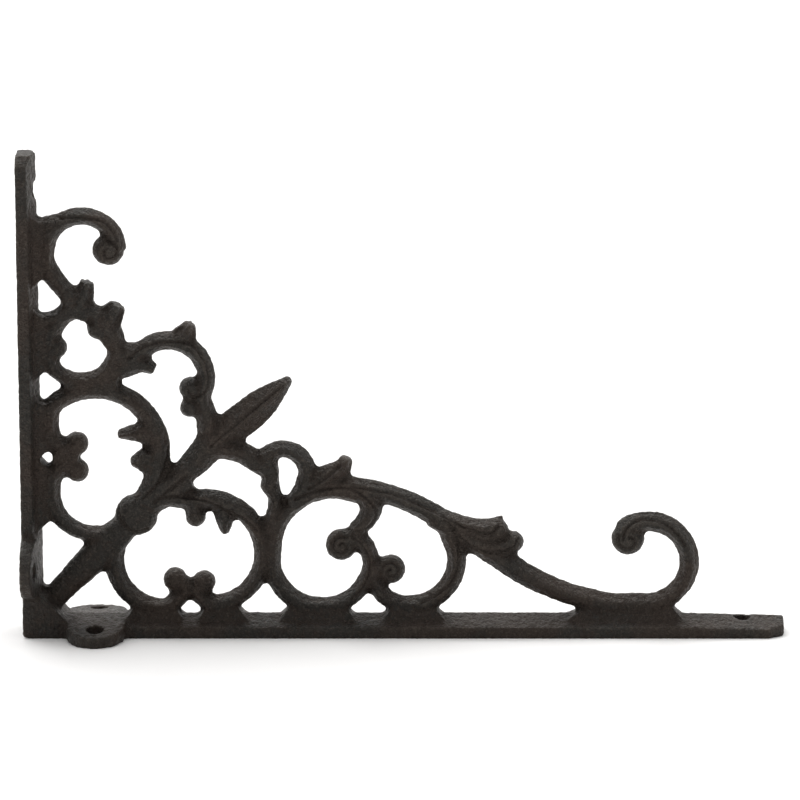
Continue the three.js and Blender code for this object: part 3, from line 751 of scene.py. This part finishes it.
def skinTree():
    # presses the lines in, moves each point by two noises and notes how hollow the place is
    tree, start = startTree("sandSkin", [
        ("Lines", "Object"), ("Low Corner", "Vector"), ("High Corner", "Vector"),
        ("Line", "Float"), ("Line Width", "Float"), ("Wave", "Float"), ("Wave Size", "Float"),
        ("Grain", "Float"), ("Grain Size", "Float"), ("Hollow Depth", "Float"),
        ("Iron", "Material")])
    place = addNode(tree, "GeometryNodeInputPosition").outputs[0]
    normal = addNode(tree, "GeometryNodeInputNormal").outputs[0]

    # distance to the nearest line, seen square on
    lines = addNode(tree, "GeometryNodeObjectInfo", None, {
        "Object": start["Lines"]}).outputs["Geometry"]
    curve = addNode(tree, "GeometryNodeMeshToCurve", None, {0: lines}).outputs[0]
    curve = addNode(tree, "GeometryNodeCurveSplineType", {"spline_type": "CATMULL_ROM"},
                    {"Curve": curve}).outputs[0]
    wire = addNode(tree, "GeometryNodeCurveToMesh", None, {"Curve": curve}).outputs[0]
    flat = addNode(tree, "ShaderNodeVectorMath", {"operation": "MULTIPLY"}, {
        0: place, 1: (1.0, 0.0, 1.0)}).outputs[0]
    away = addNode(tree, "GeometryNodeProximity", {"target_element": "EDGES"}, {
        0: wire, "Sample Position": flat}).outputs["Distance"]
    near = addNode(tree, "ShaderNodeMapRange", {"interpolation_type": "SMOOTHSTEP"}, {
        "Value": away, "From Min": start["Line Width"], "From Max": 0.0,
        "To Min": 0.0, "To Max": 1.0}).outputs["Result"]
    turn = addNode(tree, "ShaderNodeSeparateXYZ", None, {0: normal}).outputs[1]
    facing = addNode(tree, "ShaderNodeMath", {"operation": "ABSOLUTE"}, {0: turn}).outputs[0]
    frontal = addNode(tree, "ShaderNodeMapRange", {"interpolation_type": "SMOOTHSTEP"}, {
        "Value": facing, "From Min": castSizes["faceLow"], "From Max": castSizes["faceHigh"],
        "To Min": 0.0, "To Max": 1.0}).outputs["Result"]
    total = near
    for factor in (frontal, start["Line"], -1.0):
        total = addNode(tree, "ShaderNodeMath", {"operation": "MULTIPLY"}, {
            0: total, 1: factor}).outputs[0]

    # each noise has its own fixed seed
    swing = castSizes["swing"]
    for depth, size, seed in (("Wave", "Wave Size", 3.7), ("Grain", "Grain Size", 8.1)):
        scale = addNode(tree, "ShaderNodeMath", {"operation": "DIVIDE"}, {
            0: 1.0, 1: start[size]}).outputs[0]
        field = addNode(tree, "ShaderNodeTexNoise", {"noise_dimensions": "4D"}, {
            "Vector": place, "W": seed, "Scale": scale, "Detail": 2.0}).outputs["Fac"]
        rise = addNode(tree, "ShaderNodeMapRange", None, {
            "Value": field, "To Min": -swing, "To Max": swing}).outputs["Result"]
        total = addNode(tree, "ShaderNodeMath", {"operation": "MULTIPLY_ADD"}, {
            0: rise, 1: start[depth], 2: total}).outputs[0]

    offset = addNode(tree, "ShaderNodeVectorMath", {"operation": "SCALE"}, {
        0: normal, "Scale": total}).outputs[0]
    spot = addNode(tree, "ShaderNodeVectorMath", {"operation": "ADD"}, {
        0: place, 1: offset}).outputs[0]
    # keeps the legs' backs flat, and everything in the part's own box
    for limit, corner in (("MAXIMUM", "Low Corner"), ("MINIMUM", "High Corner")):
        spot = addNode(tree, "ShaderNodeVectorMath", {"operation": limit}, {
            0: spot, 1: start[corner]}).outputs[0]
    moved = addNode(tree, "GeometryNodeSetPosition", None, {
        "Geometry": start["Geometry"], "Position": spot}).outputs[0]

    # hollow: above 0 in a dent, below 0 on an edge; the iron's colour takes painted shade and
    # painted light from it
    mean = addNode(tree, "GeometryNodeBlurAttribute", {"data_type": "FLOAT_VECTOR"}, {
        "Value": place, "Iterations": castSizes["blur"]}).outputs[0]
    gap = addNode(tree, "ShaderNodeVectorMath", {"operation": "SUBTRACT"}, {
        0: mean, 1: place}).outputs[0]
    out = addNode(tree, "ShaderNodeVectorMath", {"operation": "DOT_PRODUCT"}, {
        0: gap, 1: normal}).outputs["Value"]
    depth = addNode(tree, "ShaderNodeMath", {"operation": "DIVIDE"}, {
        0: out, 1: start["Hollow Depth"]}).outputs[0]
    noted = addNode(tree, "GeometryNodeStoreNamedAttribute",
                    {"data_type": "FLOAT", "domain": "POINT"},
                    {"Geometry": moved, "Name": "hollow", "Value": depth}).outputs[0]
    return endTree(tree, noted, start["Iron"])


def thin(obj):
    step = obj.modifiers.new("thin", "DECIMATE")
    step.ratio = castSizes["share"]
    applyAll(obj)


def printSand(obj):
    size = castSizes
    lines = addObject("reliefLines", lineMesh())
    step = obj.modifiers.new("sand skin", "NODES")
    step.node_group = skinTree()
    setInputs(step, {
        "Lines": lines, "Low Corner": cadBox[0], "High Corner": cadBox[1],
        "Line": size["line"] * mm, "Line Width": size["lineWidth"] * mm,
        "Wave": size["wave"] * mm, "Wave Size": size["waveSize"] * mm,
        "Grain": size["grain"] * mm, "Grain Size": size["grainSize"] * mm,
        "Hollow Depth": size["hollowDepth"] * mm, "Iron": iron,
    })
    applyAll(obj)
    bpy.data.objects.remove(lines)


casting = joinPieces([scrolls, leaves, buds, petal, webs, knobs, boss, legs], "casting")
pourSkin(casting)
print("skin poured,", len(casting.data.polygons))
printSand(casting)
thin(casting)
for polygon in casting.data.polygons:
    polygon.use_smooth = True
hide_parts("bracket")
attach(casting, "root")
print("casting made,", len(casting.data.polygons), "faces")


studio = {
    "floor": "#fbfaf9",
    "floorSize": 12000.0,
    "floorRough": 0.9, "floorGloss": 0.1,  # matt white paper: plain, with no gloss of its own
    "topStrength": 2.2, "topAngle": 70.0, "topTurn": (-24.0, -10.0),  # tilted back and left
    # the walls: full strength all round, little in front, where the camera stands, and
    # somewhat less on the right. The ranges are the direction's share along y and x
    "world": "#ffffff", "worldStrength": 0.95,
    "worldFront": 0.08, "frontRange": (-0.9, -0.1),
    "worldRight": 0.85, "rightRange": (0.0, 0.8),
}


def makeFloor():
    half = studio["floorSize"] * mm / 2
    mesh = bpy.data.meshes.new("floor")
    mesh.from_pydata([(-half, -half, 0), (half, -half, 0), (half, half, 0), (-half, half, 0)],
                     [], [(0, 1, 2, 3)])
    paper = bpy.data.materials.new("matt white paper sweep")
    paper.use_nodes = True
    shader = paper.node_tree.nodes["Principled BSDF"]
    shader.inputs["Base Color"].default_value = srgb(studio["floor"])
    shader.inputs["Roughness"].default_value = studio["floorRough"]
    shader.inputs["Specular IOR Level"].default_value = studio["floorGloss"]
    mesh.materials.append(paper)
    addObject("floor", mesh)


def makeLights():
    # a wide soft light above and a little behind, as the roof of a light tent
    lamp = bpy.data.lights.new("tentRoof", "SUN")
    lamp.energy = studio["topStrength"]
    lamp.angle = math.radians(studio["topAngle"])
    roof = addObject("tentRoof", lamp)
    roof.rotation_euler = [math.radians(a) for a in studio["topTurn"]] + [0]


def makeWorld():
    world = bpy.data.worlds.new("white light tent")
    world.use_nodes = True
    tree = world.node_tree
    tree.nodes.clear()
    toward = addNode(tree, "ShaderNodeTexCoord").outputs["Generated"]
    sides = addNode(tree, "ShaderNodeSeparateXYZ", None, {0: toward}).outputs
    shares = []
    for side, limits, low, high in (
            (sides[1], studio["frontRange"], studio["worldFront"], studio["worldStrength"]),
            (sides[0], studio["rightRange"], 1.0, studio["worldRight"])):
        shares.append(addNode(tree, "ShaderNodeMapRange", {"interpolation_type": "SMOOTHSTEP"}, {
            "Value": side, "From Min": limits[0], "From Max": limits[1],
            "To Min": low, "To Max": high}).outputs["Result"])
    strength = addNode(tree, "ShaderNodeMath", {"operation": "MULTIPLY"}, {
        0: shares[0], 1: shares[1]}).outputs[0]
    sky = addNode(tree, "ShaderNodeBackground", None, {
        "Color": srgb(studio["world"]), "Strength": strength}).outputs[0]
    addNode(tree, "ShaderNodeOutputWorld", None, {"Surface": sky})
    bpy.context.scene.world = world


# the camera looks square at the panel, from a little above
cameraSizes = {
    "lens": 234.0, "sensor": 36.0, "pitch": 14.1,
    "x": -1.5, "y": -1972.4, "z": 589.8,
    "farEnd": 50000.0,
}


def makeCamera():
    lens = bpy.data.cameras.new("camera")
    lens.lens = cameraSizes["lens"]
    lens.sensor_width = cameraSizes["sensor"]
    lens.clip_end = cameraSizes["farEnd"] * mm
    camera = addObject("camera", lens)
    camera.location = Vector([cameraSizes[k] for k in "xyz"]) * mm
    camera.rotation_euler = (math.radians(90 - cameraSizes["pitch"]), 0, 0)
    bpy.context.scene.camera = camera


makeFloor()
makeLights()
makeWorld()
makeCamera()
bpy.context.scene.view_settings.view_transform = "Standard"
print("studio made")
